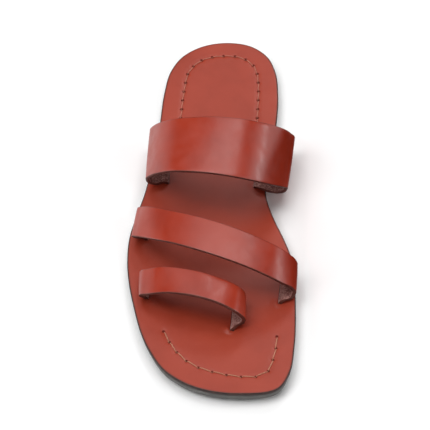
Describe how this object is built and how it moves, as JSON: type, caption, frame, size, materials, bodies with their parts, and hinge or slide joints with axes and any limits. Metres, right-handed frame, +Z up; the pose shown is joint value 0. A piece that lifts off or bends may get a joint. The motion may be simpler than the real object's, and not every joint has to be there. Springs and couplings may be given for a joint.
{
  "type": "leather slide sandal",
  "caption": "Flat leather slide sandal for the right foot: wide instep strap, diagonal ball strap and toe loop set into footbed slits, on a thin rubber outsole.",
  "frame": {"origin": "on the floor under the middle of the sole's length and width", "axes": "+Z up from the floor, +Y towards the heel, so the toe points along -Y, and +X towards the inner (big-toe) side"},
  "size_m": [0.0988, 0.2607, 0.0593],
  "materials": {
    "outsole": "matte grey rubber",
    "insole": "smooth satin leather with a dark painted edge",
    "instep_strap": "smooth satin leather, suede inside",
    "ball_strap": "smooth satin leather, suede inside",
    "toe_loop": "smooth satin leather, suede inside"
  },
  "bodies": {
    "root": {"outsole": "outsole", "insole": "insole", "instep_strap": "instep_strap", "ball_strap": "ball_strap", "toe_loop": "toe_loop"}
  },
  "joints": []
}
